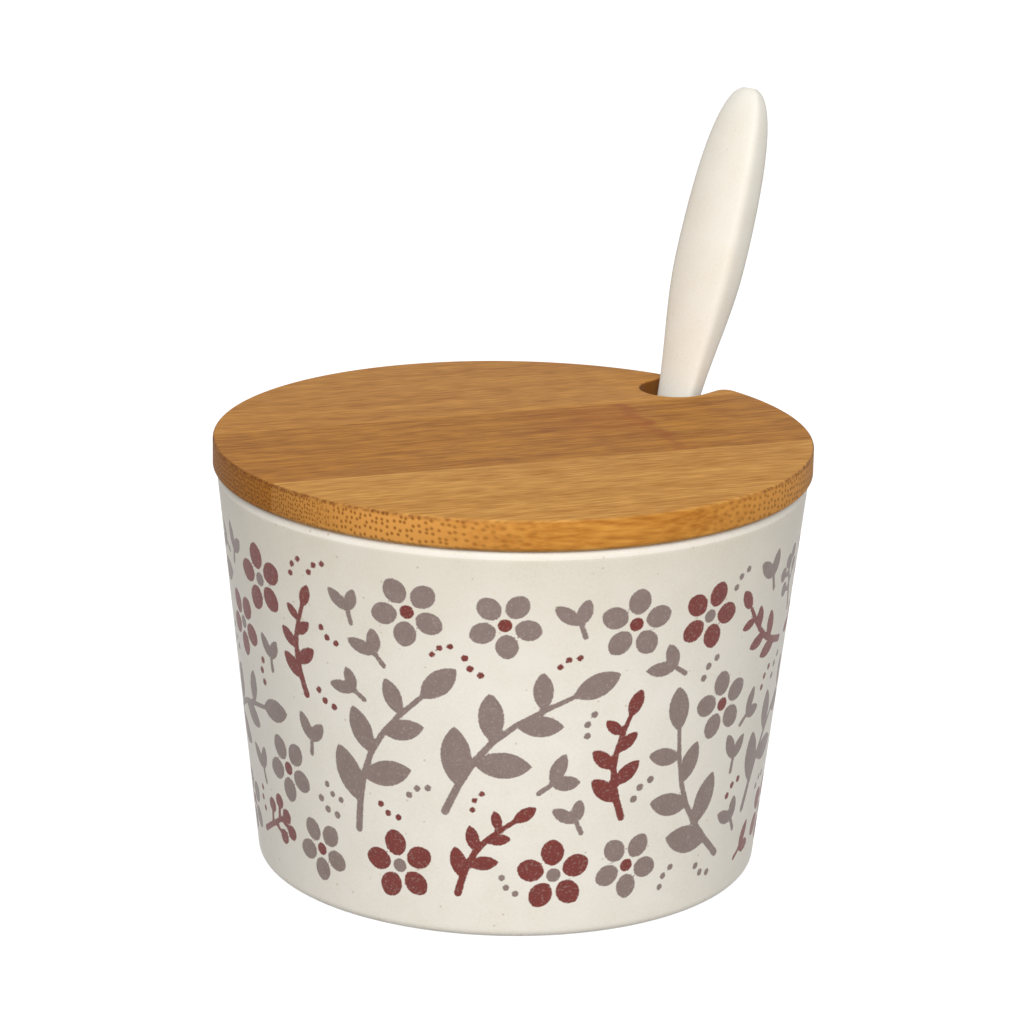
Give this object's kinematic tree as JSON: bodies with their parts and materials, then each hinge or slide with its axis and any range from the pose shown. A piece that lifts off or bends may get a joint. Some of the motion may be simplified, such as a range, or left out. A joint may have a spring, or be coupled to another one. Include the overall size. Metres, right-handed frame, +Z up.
{
  "type": "honey dish",
  "caption": "Round tapered serving bowl of moulded bamboo fibre with a flat lift-off bamboo lid, and a spoon standing in it through a notch at the lid's edge.",
  "frame": {"origin": "on the table, under the middle of the bowl", "axes": "+Z up, -Y towards the viewer of the picture, +X to the viewer's right; the lid's notch and the spoon lie at the right and behind, 49.9 degrees round from +X towards +Y"},
  "size_m": [0.1108, 0.111, 0.1369],
  "materials": {
    "bowl_moulding": "satin moulded bamboo fibre and resin, cream with fine flecks, with a printed wall",
    "bamboo": "sanded and lightly oiled laminated bamboo",
    "spoon_moulding": "satin moulded bamboo fibre and resin, plain cream"
  },
  "bodies": {
    "bowl": {"bowl": "bowl_moulding"},
    "lid": {"lid_front_stave": "bamboo", "lid_middle_stave": "bamboo", "lid_rear_stave": "bamboo"},
    "spoon": {"spoon": "spoon_moulding"}
  },
  "joints": [
    {"name": "lid_lift", "type": "slide", "parent": "bowl", "child": "lid", "axis": [0, 0, 1], "range_m": [0, 0.07]},
    {"name": "spoon_lift", "type": "slide", "parent": "bowl", "child": "spoon", "axis": [0.2072, 0.2461, 0.9469], "range_m": [0, 0.024]}
  ]
}
